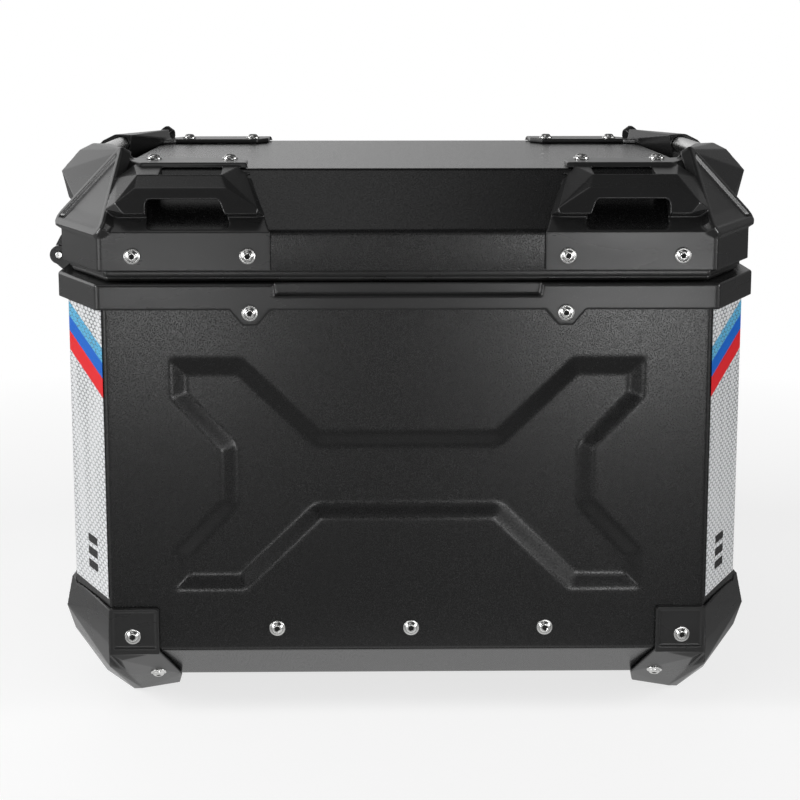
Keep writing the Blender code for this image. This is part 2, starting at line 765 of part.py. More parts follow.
def hinge_pin():
    half = HINGE_HALF + 0.0006
    return finish_smooth(rod("hinge_pin", "Y", (HINGE_X, HINGE_Z), -half, half, HINGE_PIN_R, 16, STAINLESS))


# ---------------------------------------------------------------- hasp and lock

def hasp_mount():
    """The block on the lid's right side that carries the hasp's pin between two ears."""
    face = HALF_W + GAP
    obj = box("hasp_mount", (face, -0.033, 0.2705), (face + 0.0075, 0.033, 0.2885))
    ear_low = HASP_HALF + GAP
    for sy in (-1, 1):
        ends = sorted((sy * ear_low, sy * 0.033))
        ear = [
            (face, 0.2790), (HASP_X + 0.0030, 0.2790), (HASP_X + 0.0047, 0.2838),
            (HASP_X + 0.0030, 0.2885), (face, 0.2885),
        ]
        join(obj, extrude("ear", ear, ends[0], ends[1], "Y"))
    cut(obj, rod("bore", "Y", (HASP_X, HASP_PIVOT_Z), -0.031, 0.031, HASP_PIN_R + GAP, 12))
    cut(obj, rod("barrel_room", "Y", (HASP_X, HASP_PIVOT_Z), -ear_low, ear_low, HASP_BARREL_R + 0.0006, 16))
    return finish_smooth(obj)


def hasp_pin():
    obj = rod("hasp_pin", "Y", (HASP_X, HASP_PIVOT_Z), -0.0305, 0.0305, HASP_PIN_R, 12, STAINLESS)
    return finish_smooth(obj)


def hasp():
    """The flap that hangs from the lid over the catch."""
    inner = HASP_X - HASP_T / 2
    outer = HASP_X + HASP_T / 2
    flap = [(-HASP_HALF, HASP_BOTTOM), (HASP_HALF, HASP_BOTTOM), (HASP_HALF, 0.2840), (-HASP_HALF, 0.2840)]
    obj = extrude("hasp", round_corners(flap, 0.0035, 3), inner, outer, "X")
    join(obj, rod("barrel", "Y", (HASP_X, HASP_PIVOT_Z), -HASP_HALF, HASP_HALF, HASP_BARREL_R, 16))
    cut(obj, rod("bore", "Y", (HASP_X, HASP_PIVOT_Z), -0.1, 0.1, HASP_PIN_R + GAP, 12))
    cut(obj, rod("key_hole", "X", (0.0, KEY_Z), inner - 0.01, outer + 0.01, KEY_R + GAP, 20))
    finish_smooth(obj)
    set_origin(obj, (HASP_X, 0.0, HASP_PIVOT_Z))
    return obj


def key_cylinder():
    """The lock barrel, with its key slot and the short tail behind it."""
    back = HASP_X - HASP_T / 2 - 0.0006
    obj = rod("key_cylinder", "X", (0.0, KEY_Z), back, KEY_FACE_X, KEY_R, 20, STAINLESS)
    slot_low = (KEY_FACE_X - 0.0018, -0.0007, KEY_Z - 0.0038)
    slot_high = (KEY_FACE_X + 0.002, 0.0007, KEY_Z + 0.0038)
    cut(obj, box("key_slot", slot_low, slot_high))
    join(obj, box("tail", (HASP_X - 0.0052, -0.0035, KEY_Z - 0.0012), (HASP_X, 0.0035, KEY_Z + 0.0012)))
    finish_smooth(obj)
    set_origin(obj, (HASP_X, 0.0, KEY_Z))
    return obj


def catch_plate():
    """The catch on the collar's right side, hollow in front so that the lock's tail can turn in it."""
    face = HALF_W + NOTCH_WEB + GAP
    front = HASP_X - HASP_T / 2 - 0.0010
    outline = round_corners([(-0.024, 0.2478), (0.024, 0.2478), (0.024, 0.2612), (-0.024, 0.2612)], 0.003, 2)
    obj = extrude("catch_plate", outline, HALF_W + COLLAR_PROUD + GAP, front, "X")
    foot_outline = [(-0.024, NOTCH_Z + GAP), (0.024, NOTCH_Z + GAP), (0.024, 0.2590), (-0.024, 0.2590)]
    join(obj, extrude("root", foot_outline, face, HALF_W + COLLAR_PROUD + 0.002, "X"))
    cut(obj, rod("tail_room", "X", (0.0, KEY_Z), HASP_X - 0.0062, front + 0.01, 0.0050, 20))
    return finish_smooth(obj)


# ---------------------------------------------------------------- floor fittings

def receiver_plate():
    """The plate under the floor that locks onto the rack's mounting plate."""
    top = FLOOR_Z - GAP
    outline = round_corners([(-PLATE_HALF_X, -PLATE_HALF_Y), (PLATE_HALF_X, -PLATE_HALF_Y),
                             (PLATE_HALF_X, PLATE_HALF_Y), (-PLATE_HALF_X, PLATE_HALF_Y)], 0.012, 3)
    obj = extrude("receiver_plate", outline, PLATE_Z, top, "Z")
    for sx in (-1, 1):
        spread = sorted((sx * 0.040, sx * 0.066))
        cut(obj, box("hook_slot", (spread[0], -0.085, PLATE_Z - 0.01), (spread[1], -0.065, top - 0.003)))
    cut(obj, rod("cam_room", "Z", (0.0, KNOB_Y), PLATE_Z - 0.01, top - 0.0030, 0.021, 24))
    cut(obj, rod("shaft_hole", "Z", (0.0, KNOB_Y), 0.0, 0.02, SHAFT_R + 0.0006, 20))
    return finish_smooth(obj)


def floor_mat():
    low = FLOOR_Z + SHEET + GAP
    outline = round_corners(case_corners(-BEVEL_IN - 0.003), 0.004, 2)
    obj = extrude("floor_mat", outline, low, low + MAT_T, "Z", GREY_FELT)
    cut(obj, rod("knob_hole", "Z", (0.0, KNOB_Y), 0.0, 0.03, KNOB_R + 0.002, 28))
    return finish_smooth(obj)


def release_knob():
    """The turn knob inside the case, with its shaft through the floor."""
    seat = FLOOR_Z + SHEET + GAP
    obj = rod("release_knob", "Z", (0.0, KNOB_Y), seat, seat + 0.007, KNOB_R, 28)
    grip = round_corners([(-0.0155, KNOB_Y - 0.0045), (0.0155, KNOB_Y - 0.0045), (0.0155, KNOB_Y + 0.0045),
                          (-0.0155, KNOB_Y + 0.0045)], 0.003, 2)
    join(obj, extrude("grip", grip, seat + 0.003, KNOB_TOP, "Z"))
    join(obj, rod("shaft", "Z", (0.0, KNOB_Y), PLATE_Z + 0.0010, seat + 0.002, SHAFT_R, 20))
    finish_smooth(obj)
    set_origin(obj, (0.0, KNOB_Y, seat))
    return obj


def release_cam():
    """The bar on the shaft that turns under the rack plate's lip."""
    low, high = PLATE_Z + 0.0010, PLATE_Z + 0.0050
    outline = round_corners([(-0.019, KNOB_Y - 0.0072), (0.019, KNOB_Y - 0.0072), (0.019, KNOB_Y + 0.0072),
                             (-0.019, KNOB_Y + 0.0072)], 0.004, 2)
    obj = extrude("release_cam", outline, low, high, "Z", STAINLESS)
    cut(obj, rod("bore", "Z", (0.0, KNOB_Y), low - 0.01, high + 0.01, SHAFT_R + GAP, 20))
    finish_smooth(obj)
    set_origin(obj, (0.0, KNOB_Y, low))
    return obj


def corners_of_the_case():
    return [("front_left", -1, -1), ("front_right", 1, -1), ("rear_left", -1, 1), ("rear_right", 1, 1)]


def build():
    clear_scene()
    wall_shell()
    floor_tray()
    collar_frame()
    for place, sx, sy in corners_of_the_case():
        foot(f"foot_{place}", sx, sy)
        reflector(f"reflector_{place}", sx, sy)
        bracket(f"bracket_{place}", sx, sy)
    rail("rail_left", -1)
    rail("rail_right", 1)
    lid_shell()
    lid_rim()
    lid_seal()
    hinge_base_leaf()
    hinge_lid_leaf()
    hinge_pin()
    hasp_mount()
    hasp_pin()
    hasp()
    key_cylinder()
    catch_plate()
    receiver_plate()
    floor_mat()
    release_knob()
    release_cam()
    for name, seat, facing, length in screw_places():
        screw(name, seat, facing, length)


build()
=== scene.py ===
"""Looks of the top case: finishes, fine sheet metal, screws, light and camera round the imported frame."""

import json
import math

import bmesh
import bpy
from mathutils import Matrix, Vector, noise

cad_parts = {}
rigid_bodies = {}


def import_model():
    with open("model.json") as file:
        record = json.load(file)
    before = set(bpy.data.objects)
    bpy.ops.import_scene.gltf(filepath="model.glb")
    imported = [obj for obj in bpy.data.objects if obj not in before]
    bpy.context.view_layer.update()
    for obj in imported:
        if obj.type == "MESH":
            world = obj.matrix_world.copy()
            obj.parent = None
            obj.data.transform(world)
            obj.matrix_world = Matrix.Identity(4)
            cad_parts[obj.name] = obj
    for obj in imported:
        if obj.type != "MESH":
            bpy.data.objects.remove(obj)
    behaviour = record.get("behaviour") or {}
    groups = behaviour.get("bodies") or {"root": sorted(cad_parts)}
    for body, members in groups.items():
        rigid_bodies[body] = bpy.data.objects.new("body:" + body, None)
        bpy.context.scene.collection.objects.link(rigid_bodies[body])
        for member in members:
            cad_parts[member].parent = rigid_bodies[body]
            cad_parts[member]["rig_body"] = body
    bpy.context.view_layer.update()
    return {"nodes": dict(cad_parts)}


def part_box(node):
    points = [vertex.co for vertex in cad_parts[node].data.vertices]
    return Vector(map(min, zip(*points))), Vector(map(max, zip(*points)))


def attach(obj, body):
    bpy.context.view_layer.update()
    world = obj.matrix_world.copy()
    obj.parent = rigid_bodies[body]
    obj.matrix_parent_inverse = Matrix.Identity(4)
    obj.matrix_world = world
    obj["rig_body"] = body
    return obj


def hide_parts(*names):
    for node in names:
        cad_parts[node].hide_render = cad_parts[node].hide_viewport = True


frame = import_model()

# Boxes of the frame's sheets and rim, and the plan's half width and half depth
WALL_LOW, WALL_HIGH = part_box("wall_shell")
LID_LOW, LID_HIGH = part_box("lid_shell")
TRAY_LOW, TRAY_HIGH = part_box("floor_tray")
RIM_LOW, RIM_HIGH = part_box("lid_rim")
HALF_W = WALL_HIGH.x
HALF_D = WALL_HIGH.y

# Plan: how much each cut corner takes off the front and rear, and how much off the sides
CORNER_X = 0.029
CORNER_Y = 0.0622
CORNER_R = 0.003
CORNER_STEPS = 6

# Sheet metal: its thickness, the clearance between sheets, and the steps in a bend of a profile
SHEET = 0.0015
GAP = 0.0003
BEND_STEPS = 5

# Tray and lid profiles. Each ends FLAT_START inside its last bend, and one flat face closes it there
BEVEL_IN = 0.040
BEVEL_INNER_EXTRA = 0.0006
LID_BAND_TOP = 0.2893
LID_BAND_SHARE = 0.4
LID_IN_Y = 0.028
LID_IN_X = 0.035
LID_BEND_R = 0.0026
TRAY_BEND_R = 0.0030
FLAT_START = 0.03

# Rim moulding and the seal in its channel, as offsets outwards from the wall's outer face
RIM_BACK = -0.0085
CHANNEL_BACK = -0.0072
CHANNEL_FRONT = -0.0034
CHANNEL_DEEP = 0.003
SEAL_MIDDLE = -0.0053
SEAL_ROOT = 0.0014
BULB_R = 0.0023
BULB_FROM = 128
BULB_SWEEP = 284
BULB_STEPS = 14

# Pressed X panel
RELIEF_Z = 0.146
RELIEF_DEPTH = 0.003
RELIEF_SLOPE = 0.011
RELIEF_QUARTER = ((0.0505, 0.0270), (0.0955, 0.0704), (0.1390, 0.0704), (0.1390, 0.0455), (0.1100, 0.0147))
PANEL_STEP = 0.0016
PRESS_EASE = 0.2
PANEL_WAVE = 0.00012
PANEL_WAVES_PER_METRE = 11

# Screws
SHANK_R = 0.0025
HEAD_R = 0.00475
HEAD_H = 0.00275
SOCKET_AF = 0.0028
SOCKET_DEEP = 0.0016
FOOT_SCREW_LENGTH = 0.006
HINGE_SCREW_LENGTH = 0.004
HINGE_SCREW_SHARE = 0.72
HINGE_SCREW_Y = (-0.052, 0.0, 0.052)


# ---------------------------------------------------------------- outlines

def round_corners(points, radius, steps):
    """The polygon with an arc at each corner, always steps + 1 points to a corner."""
    found = []
    for i, corner in enumerate(points):
        here = Vector(corner)
        before = (Vector(points[i - 1]) - here).normalized()
        after = (Vector(points[(i + 1) % len(points)]) - here).normalized()
        half = before.angle(after) / 2
        centre = here + (before + after).normalized() * radius / math.sin(half)
        start = here + before * radius / math.tan(half) - centre
        end = here + after * radius / math.tan(half) - centre
        for k in range(steps + 1):
            arm = start.slerp(end, k / steps).normalized() * radius
            found.append(tuple(centre + arm))
    return found


def case_corners(out_y, out_x=None):
    """The plan's eight corners, moved outwards by out_y at the front and rear and by out_x at the sides."""
    out_x = out_y if out_x is None else out_x
    length = math.hypot(CORNER_X, CORNER_Y)
    nx, ny = CORNER_Y / length, CORNER_X / length
    reach = nx * (HALF_W - CORNER_X) + ny * HALF_D + (out_x + out_y) / 2
    half_w, half_d = HALF_W + out_x, HALF_D + out_y
    front = ((reach - ny * half_d) / nx, half_d)
    side = (half_w, (reach - nx * half_w) / ny)
    quarter = [side, front]
    corners = quarter + [(-x, y) for x, y in reversed(quarter)]
    return corners + [(-x, -y) for x, y in corners]


def case_loop(out_y, z, out_x=None):
    """The plan's outline at one height, with its corners rounded."""
    return [(x, y, z) for x, y in round_corners(case_corners(out_y, out_x), CORNER_R, CORNER_STEPS)]


def bend(points, radius):
    """A profile whose inner corners are bent round instead of sharp. The ends stay where they are."""
    found = [Vector(points[0])]
    for before, here, after in zip(points, points[1:], points[2:]):
        before, here, after = Vector(before), Vector(here), Vector(after)
        start = here + (before - here).normalized() * min(radius, (before - here).length / 2)
        end = here + (after - here).normalized() * min(radius, (after - here).length / 2)
        for k in range(BEND_STEPS + 1):
            t = k / BEND_STEPS
            found.append(start * (1 - t) ** 2 + here * 2 * t * (1 - t) + end * t * t)
    return found + [Vector(points[-1])]


# ---------------------------------------------------------------- meshes

def add_object(name, data):
    obj = bpy.data.objects.new(name, data)
    bpy.context.scene.collection.objects.link(obj)
    return obj


def smooth_mesh(name, bm):
    """The mesh of a finished skin, with its faces turned outwards."""
    bmesh.ops.recalc_face_normals(bm, faces=bm.faces)
    mesh = bpy.data.meshes.new(name)
    bm.to_mesh(mesh)
    bm.free()
    mesh.shade_smooth()
    return mesh


def add_piece(name, bm, body, paint, replaced):
    """A finished skin as a piece that rides on a body and stands for CAD nodes."""
    mesh = smooth_mesh(name, bm)
    mesh.materials.append(paint)
    obj = add_object(name, mesh)
    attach(obj, body)
    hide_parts(*replaced)
    return obj


def skin(loops, ring=False):
    """A skin over loops of equal length, with capped ends or closed into a ring."""
    bm = bmesh.new()
    rows = [[bm.verts.new(point) for point in loop] for loop in loops]
    count = len(rows[0])
    last = len(rows) if ring else len(rows) - 1
    for i in range(last):
        low, high = rows[i], rows[(i + 1) % len(rows)]
        for k in range(count):
            after = (k + 1) % count
            bm.faces.new((low[k], low[after], high[after], high[k]))
    if not ring:
        bm.faces.new(reversed(rows[0]))
        bm.faces.new(rows[-1])
    return bm


def even_shading(obj):
    """Normals weighted by face size, so that flat faces stay flat beside their rounded edges."""
    weigh = obj.modifiers.new("even_shading", "WEIGHTED_NORMAL")
    weigh.weight = 100
    weigh.keep_sharp = False


# ---------------------------------------------------------------- materials

class Paint:
    """A material being built: its node tree, its shader and the object's own coordinates."""

    def __init__(self, name, colour, roughness, metallic=0.0):
        self.material = bpy.data.materials.new(name)
        self.material.use_nodes = True
        self.tree = self.material.node_tree
        self.shader = self.tree.nodes["Principled BSDF"]
        self.set("Base Color", (*colour, 1.0))
        self.set("Roughness", roughness)
        self.set("Metallic", metallic)
        self.place = self.add("ShaderNodeTexCoord").outputs["Object"]

    def set(self, socket, value):
        self.feed(self.shader.inputs[socket], value)

    def add(self, kind, **settings):
        node = self.tree.nodes.new(kind)
        for name, value in settings.items():
            setattr(node, name, value)
        return node

    def feed(self, socket, value):
        if isinstance(value, bpy.types.NodeSocket):
            self.tree.links.new(value, socket)
        else:
            socket.default_value = value

    def math(self, operation, *values):
        node = self.add("ShaderNodeMath", operation=operation)
        for socket, value in zip(node.inputs, values):
            self.feed(socket, value)
        return node.outputs[0]

    def stretch(self, x, y, z):
        node = self.add("ShaderNodeMapping")
        self.feed(node.inputs["Vector"], self.place)
        node.inputs["Scale"].default_value = (x, y, z)
        return node.outputs["Vector"]

    def noise(self, scale, detail, vector=None):
        node = self.add("ShaderNodeTexNoise")
        self.feed(node.inputs["Vector"], vector or self.place)
        node.inputs["Scale"].default_value = scale
        node.inputs["Detail"].default_value = detail
        return node.outputs["Fac"]

    def spread(self, value, low, high, to_low=0.0, to_high=1.0):
        node = self.add("ShaderNodeMapRange")
        for socket, number in zip(node.inputs, (value, low, high, to_low, to_high)):
            self.feed(socket, number)
        return node.outputs["Result"]

    def ramp(self, value, stops):
        """Bands of colour: each (place, colour) holds until the next one."""
        node = self.add("ShaderNodeValToRGB")
        self.feed(node.inputs["Fac"], value)
        node.color_ramp.interpolation = "CONSTANT"
        while len(node.color_ramp.elements) < len(stops):
            node.color_ramp.elements.new(1.0)
        for element, (place, colour) in zip(node.color_ramp.elements, stops):
            element.position = place
            element.color = (*colour, 1.0)
        return node.outputs["Color"]

    def mix(self, factor, first, second):
        node = self.add("ShaderNodeMix", data_type="RGBA")
        self.feed(node.inputs["Factor"], factor)
        for socket, value in (("A", first), ("B", second)):
            matching = [s for s in node.inputs if s.name == socket and s.type == "RGBA"][0]
            self.feed(matching, (*value, 1.0) if isinstance(value, tuple) else value)
        return [s for s in node.outputs if s.type == "RGBA"][0]

    def bump(self, height, strength, distance):
        node = self.add("ShaderNodeBump")
        node.inputs["Strength"].default_value = strength
        node.inputs["Distance"].default_value = distance
        self.feed(node.inputs["Height"], height)
        return node.outputs["Normal"]


def black_coat():
    """Textured powder coat: fine grains that sparkle where the light falls, a little uneven in gloss."""
    paint = Paint("black_coat", (0.004, 0.004, 0.004), 0.36)
    grain = paint.noise(1300.0, 2.0)
    fleck = paint.spread(paint.noise(1100.0, 1.0), 0.60, 0.74)
    cloud = paint.noise(14.0, 3.0)
    base = paint.mix(cloud, (0.0032, 0.0032, 0.0033), (0.0052, 0.0052, 0.0054))
    paint.set("Base Color", paint.mix(paint.math("MULTIPLY", fleck, 0.6), base, (0.034, 0.034, 0.035)))
    paint.set("Roughness", paint.spread(paint.noise(1500.0, 1.0), 0.35, 0.65, 0.19, 0.31))
    paint.set("Normal", paint.bump(grain, 0.45, 0.0001))
    return paint.material


def black_plastic(name, tone):
    """Satin moulded plastic with a fine spark-eroded grain and faint flow marks."""
    paint = Paint(name, (tone, tone, tone), 0.40)
    grain = paint.noise(1900.0, 3.0)
    cloud = paint.noise(22.0, 4.0)
    flow = paint.noise(9.0, 5.0, paint.stretch(1.0, 1.0, 4.0))
    dark, light = (tone * 0.85, tone * 0.85, tone * 0.86), (tone * 1.15, tone * 1.15, tone * 1.16)
    base = paint.mix(cloud, dark, light)
    speck = paint.spread(paint.noise(1300.0, 1.0), 0.62, 0.78)
    bright = tone + 0.03
    paint.set("Base Color", paint.mix(paint.math("MULTIPLY", speck, 0.3), base, (bright, bright, bright)))
    paint.set("Roughness", paint.spread(flow, 0.3, 0.7, 0.24, 0.29))
    paint.set("Normal", paint.bump(grain, 0.3, 0.00004))
    return paint.material


def stainless():
    """Bright stainless steel, a little uneven in gloss and slightly stained."""
    paint = Paint("stainless", (0.70, 0.70, 0.69), 0.20, 1.0)
    stain = paint.noise(160.0, 4.0)
    paint.set("Base Color", paint.mix(stain, (0.55, 0.55, 0.54), (0.82, 0.82, 0.81)))
    paint.set("Roughness", paint.spread(paint.noise(900.0, 3.0), 0.3, 0.7, 0.16, 0.30))
    paint.set("Normal", paint.bump(paint.noise(2600.0, 2.0), 0.12, 0.00005))
    return paint.material


def socket_shade():
    """Painted shade: dull, dark steel inside a screw's socket, mottled, standing in for the shade in that
    hollow.
    """
    paint = Paint("socket_shade", (0.02, 0.02, 0.02), 0.6)
    # Noise that mottles the painted shade in the socket
    shade_mottle = paint.noise(1200.0, 3.0)
    paint.set("Base Color", paint.mix(shade_mottle, (0.010, 0.010, 0.010), (0.040, 0.039, 0.038)))
    return paint.material


def black_rubber():
    """Extruded rubber with a slight bloom."""
    paint = Paint("black_rubber", (0.008, 0.008, 0.008), 0.30)
    bloom = paint.noise(90.0, 4.0)
    paint.set("Base Color", paint.mix(bloom, (0.006, 0.006, 0.006), (0.016, 0.016, 0.016)))
    paint.set("Roughness", paint.spread(bloom, 0.3, 0.7, 0.24, 0.40))
    paint.set("Normal", paint.bump(paint.noise(1500.0, 2.0), 0.15, 0.0001))
    return paint.material


def grey_felt():
    """Needle-punched mat."""
    paint = Paint("grey_felt", (0.05, 0.05, 0.055), 0.95)
    fibre = paint.noise(700.0, 6.0)
    paint.set("Base Color", paint.mix(fibre, (0.022, 0.022, 0.024), (0.085, 0.085, 0.09)))
    paint.set("Normal", paint.bump(fibre, 0.9, 0.0009))
    paint.shader.inputs["Sheen Weight"].default_value = 0.4
    paint.shader.inputs["Sheen Roughness"].default_value = 0.6
    return paint.material


# Reflective film: its cells, colours, slanted stripes and the three bars printed near its foot
FILM_CELL_W = 0.0070
FILM_CELL_H = 0.0046
FILM_BORDER = (0.13, 0.14, 0.15)
FILM_BLACK = (0.012, 0.012, 0.012)
FILM_WHITE = (0.76, 0.77, 0.78)
FILM_CYAN = (0.10, 0.44, 0.70)
FILM_BLUE = (0.0, 0.125, 0.58)
FILM_RED = (0.78, 0.010, 0.016)
STRIPE_TILT = 0.0215 / CORNER_Y
STRIPE_LOW = 0.180
STRIPE_HIGH = 0.230
STRIPE_EDGES = (0.1915, 0.2031, 0.2124, 0.2212)
BARS = ((0.0985, 0.1035), (0.0905, 0.0955), (0.0825, 0.0875))
BAR_HALF_W = 0.009
BAR_SHIFT = 0.004


def stripe_place(height):
    """A height on the film as a place between the two ends of the colour ramp."""
    return (height - STRIPE_LOW) / (STRIPE_HIGH - STRIPE_LOW)


def reflective_film():
    """Silver prismatic film: staggered cells, three slanted stripes near the top and three printed bars."""
    paint = Paint("reflective_film", FILM_WHITE, 0.30)
    split = paint.add("ShaderNodeSeparateXYZ")
    paint.feed(split.inputs[0], paint.place)
    x = paint.math("ABSOLUTE", split.outputs["X"])
    y = paint.math("ABSOLUTE", split.outputs["Y"])
    z = split.outputs["Z"]
    length = math.hypot(CORNER_X, CORNER_Y)
    across = paint.math("SUBTRACT", paint.math("MULTIPLY", y, CORNER_Y / length),
                        paint.math("MULTIPLY", x, CORNER_X / length))

    u = paint.math("MULTIPLY", across, math.tau / FILM_CELL_W)
    v = paint.math("MULTIPLY", z, math.tau / FILM_CELL_H)
    waves = paint.math("ADD", paint.math("COSINE", paint.math("ADD", u, v)),
                       paint.math("COSINE", paint.math("SUBTRACT", u, v)))
    waves = paint.math("ADD", waves, paint.math("COSINE", paint.math("MULTIPLY", v, 2.0)))
    border = paint.spread(waves, -1.25, -0.1, 1.0, 0.0)
    streak = paint.spread(paint.noise(110.0, 2.0, paint.stretch(1.0, 1.0, 0.12)), 0.35, 0.62)
    uneven = paint.math("MULTIPLY", streak, paint.spread(z, 0.10, 0.24, 0.45, 1.0))

    slant = paint.math("MULTIPLY", paint.math("SUBTRACT", HALF_D, y), STRIPE_TILT)
    height = paint.math("SUBTRACT", z, slant)
    band = paint.spread(height, STRIPE_LOW, STRIPE_HIGH)
    places = [0.0] + [stripe_place(edge) for edge in STRIPE_EDGES]
    ink = paint.ramp(band, list(zip(places, (FILM_WHITE, FILM_RED, FILM_BLUE, FILM_CYAN, FILM_WHITE))))
    shares = (1.0, 0.0, 0.0, 0.7, 1.0)
    shows = paint.ramp(band, [(place, (share,) * 3) for place, share in zip(places, shares)])
    line = paint.math("MULTIPLY", border, shows)
    depth = paint.math("MULTIPLY", line, paint.spread(uneven, 0.0, 1.0, 0.30, 0.95))
    shade = paint.mix(depth, ink, FILM_BORDER)

    middle = (CORNER_Y * (HALF_D - CORNER_Y / 2) - CORNER_X * (HALF_W - CORNER_X / 2)) / length
    side = paint.math("ABSOLUTE", paint.math("SUBTRACT", across, middle + BAR_SHIFT))
    inside = paint.math("LESS_THAN", side, BAR_HALF_W)
    marks = 0.0
    for low, high in BARS:
        bar = paint.math("MULTIPLY", paint.math("GREATER_THAN", z, low), paint.math("LESS_THAN", z, high))
        marks = paint.math("ADD", marks, bar)
    mark = paint.math("MULTIPLY", inside, marks)
    paint.set("Base Color", paint.mix(mark, shade, FILM_BLACK))
    paint.set("Roughness", paint.spread(line, 0.0, 1.0, 0.34, 0.22))
    paint.set("Normal", paint.bump(line, 0.25, 0.0001))
    paint.shader.inputs["Specular IOR Level"].default_value = 0.25
    return paint.material


COAT = black_coat()
PLASTIC = black_plastic("moulded_plastic", 0.016)
RIM = black_plastic("rim_plastic", 0.003)
SOCKET = socket_shade()
STEEL = stainless()
RUBBER = black_rubber()
FELT = grey_felt()
FILM = reflective_film()


# ---------------------------------------------------------------- sheet metal

def relief_outline():
    """The closed outline of the pressed X, round its own middle."""
    quarter = list(RELIEF_QUARTER)
    upper = list(reversed(quarter)) + [(-x, z) for x, z in quarter]
    return [Vector(p) for p in upper + [(-x, -z) for x, z in upper]]


def inside_distance(point, outline):
    """How far a point is inside a closed outline, or 0 outside it."""
    nearest = 1.0
    inside = False
    for a, b in zip(outline, outline[1:] + outline[:1]):
        along = b - a
        t = max(0.0, min(1.0, (point - a).dot(along) / along.length_squared))
        nearest = min(nearest, (point - a - along * t).length)
        if (a.y > point.y) != (b.y > point.y):
            if point.x < a.x + (point.y - a.y) / (b.y - a.y) * along.x:
                inside = not inside
    return nearest if inside else 0.0


def press_profile(t):
    """A straight flank from 0 to 1 with a short bend at its foot and its top."""
    if t < PRESS_EASE:
        rise = t * t / (2 * PRESS_EASE)
    elif t > 1 - PRESS_EASE:
        rise = 1 - PRESS_EASE - (1 - t) ** 2 / (2 * PRESS_EASE)
    else:
        rise = t - PRESS_EASE / 2
    return rise / (1 - PRESS_EASE)


def divided(loop, count):
    """The loop of plan points with its front and rear runs divided into equal steps."""
    found = []
    for a, b in zip(loop, loop[1:] + loop[:1]):
        found.append(a)
        run = Vector(b) - Vector(a)
        if abs(run.y) < 1e-6 and run.length > HALF_W:
            found += [tuple(Vector(a) + run * k / count) for k in range(1, count)]
    return found


def wall_shell():
    """The wall sheet as a fine grid, with the X pressed into its front and rear."""
    outline = relief_outline()
    low, high = WALL_LOW.z, WALL_HIGH.z
    rows = math.ceil((high - low) / PANEL_STEP)
    columns = math.ceil(2 * (HALF_W - CORNER_X) / PANEL_STEP)
    heights = [low + (high - low) * k / rows for k in range(rows + 1)]
    pressed = {}

    def press(x, z):
        key = (round(abs(x), 5), round(z, 5))
        if key not in pressed:
            t = inside_distance(Vector((key[0], key[1] - RELIEF_Z)), outline) / RELIEF_SLOPE
            pressed[key] = RELIEF_DEPTH * press_profile(min(t, 1.0))
        return pressed[key]

    def row(out, z):
        found = []
        for x, y, _ in divided(case_loop(out, z), columns):
            if abs(y) > HALF_D + out - 1e-5:
                sign = math.copysign(1.0, y)
                spot = (x * PANEL_WAVES_PER_METRE, z * PANEL_WAVES_PER_METRE, sign)
                wave = PANEL_WAVE * noise.noise(spot)
                y -= sign * (press(x, z) + wave * (1 - abs(x) / HALF_W))
            found.append((x, y, z))
        return found

    outer = [row(0.0, z) for z in heights]
    inner = [row(-SHEET, z) for z in reversed(heights)]
    bm = skin(outer + inner, ring=True)
    even_shading(add_piece("wall_sheet", bm, "case", COAT, ["wall_shell"]))


def floor_tray():
    """The floor sheet: its flat middle, the bevel round it and the flange inside the wall."""
    flange = -SHEET - GAP
    low, top = TRAY_LOW.z, TRAY_HIGH.z
    bevel_top = WALL_LOW.z - GAP
    outer = bend([(-BEVEL_IN - FLAT_START, low), (-BEVEL_IN, low), (0.0, bevel_top), (flange, bevel_top),
                  (flange, top)], TRAY_BEND_R)
    inner = [(flange - SHEET, top), (flange - SHEET, bevel_top),
             (-BEVEL_IN - BEVEL_INNER_EXTRA, low + SHEET)]
    bm = skin([case_loop(out, z) for out, z in [tuple(p) for p in outer] + inner])
    even_shading(add_piece("floor_sheet", bm, "case", COAT, ["floor_tray"]))


def lid_shell():
    """The lid sheet: an upright band, the slope above it and the flat top."""
    def sections(out, up):
        band = LID_BAND_TOP + up * LID_BAND_SHARE
        top = LID_HIGH.z + up
        y, x = out - LID_IN_Y, out - LID_IN_X
        return [(out, LID_LOW.z, out), (out, band, out), (y, top, x), (y - FLAT_START, top, x - FLAT_START)]

    outer = bend(sections(0.0, 0.0), LID_BEND_R)
    inner = bend(sections(-SHEET, -SHEET), LID_BEND_R)
    bm = skin([case_loop(y, z, x) for y, z, x in list(reversed(outer)) + inner])
    even_shading(add_piece("lid_sheet", bm, "lid", COAT, ["lid_shell"]))


def lid_rim():
    """The moulding inside the lid's edge, with a channel in its underside."""
    low, high = RIM_LOW.z, RIM_HIGH.z
    front = -SHEET - GAP
    roof = low + CHANNEL_DEEP
    profile = [(front, low), (front, high), (RIM_BACK, high), (RIM_BACK, low), (CHANNEL_BACK, low),
               (CHANNEL_BACK, roof), (CHANNEL_FRONT, roof), (CHANNEL_FRONT, low)]
    bm = skin([case_loop(out, z) for out, z in profile], ring=True)
    even_shading(add_piece("lid_rim_moulding", bm, "lid", RIM, ["lid_rim"]))


def lid_seal():
    """A root held in the rim's channel, with a round bulb below it."""
    low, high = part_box("lid_seal")[0].z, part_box("lid_seal")[1].z
    bulb_z = low + BULB_R
    profile = [(SEAL_MIDDLE + SEAL_ROOT, high), (SEAL_MIDDLE - SEAL_ROOT, high)]
    for k in range(BULB_STEPS + 1):
        a = math.radians(BULB_FROM + BULB_SWEEP * k / BULB_STEPS)
        profile.append((SEAL_MIDDLE + BULB_R * math.cos(a), bulb_z + BULB_R * math.sin(a)))
    bm = skin([case_loop(out, z) for out, z in profile], ring=True)
    add_piece("lid_seal_bulb", bm, "lid", RUBBER, ["lid_seal"])


# ---------------------------------------------------------------- screws

